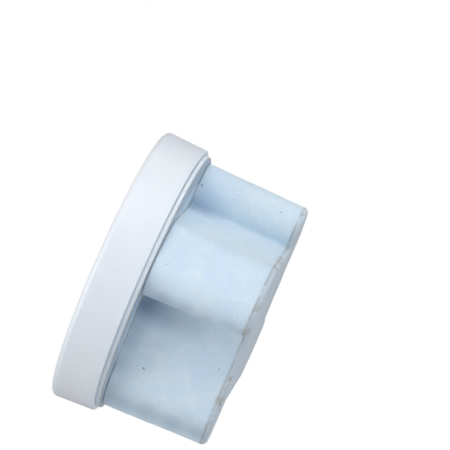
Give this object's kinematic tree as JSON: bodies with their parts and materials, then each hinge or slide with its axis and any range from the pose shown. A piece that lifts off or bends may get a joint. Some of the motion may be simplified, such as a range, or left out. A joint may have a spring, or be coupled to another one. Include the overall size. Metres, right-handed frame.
{
  "type": "deck fill cap",
  "caption": "Round cap with a dished white moulded plate, a square drive boss, key pockets, a seal ring and a deep lobed light-blue plug.",
  "frame": {"origin": "centre of the plug's flat end face, the lowest point of the cap when it stands on its plug", "axes": "+Z along the cap's axis towards the dished face; X and Y are square to the sides of the drive boss"},
  "size_m": [0.0998, 0.0998, 0.0563],
  "materials": {
    "plate_white": "satin, slightly milky moulded plastic",
    "boss_cream": "satin moulded plastic, a little creamier than the plate",
    "seal_blue": "matte pale blue, dusty",
    "plug_blue": "matte cast pale blue with pores, grime on the end edges"
  },
  "bodies": {
    "root": {"cap_plate": "plate_white", "drive_boss": "boss_cream", "seal_ring": "seal_blue", "plug_body": "plug_blue"}
  },
  "joints": []
}
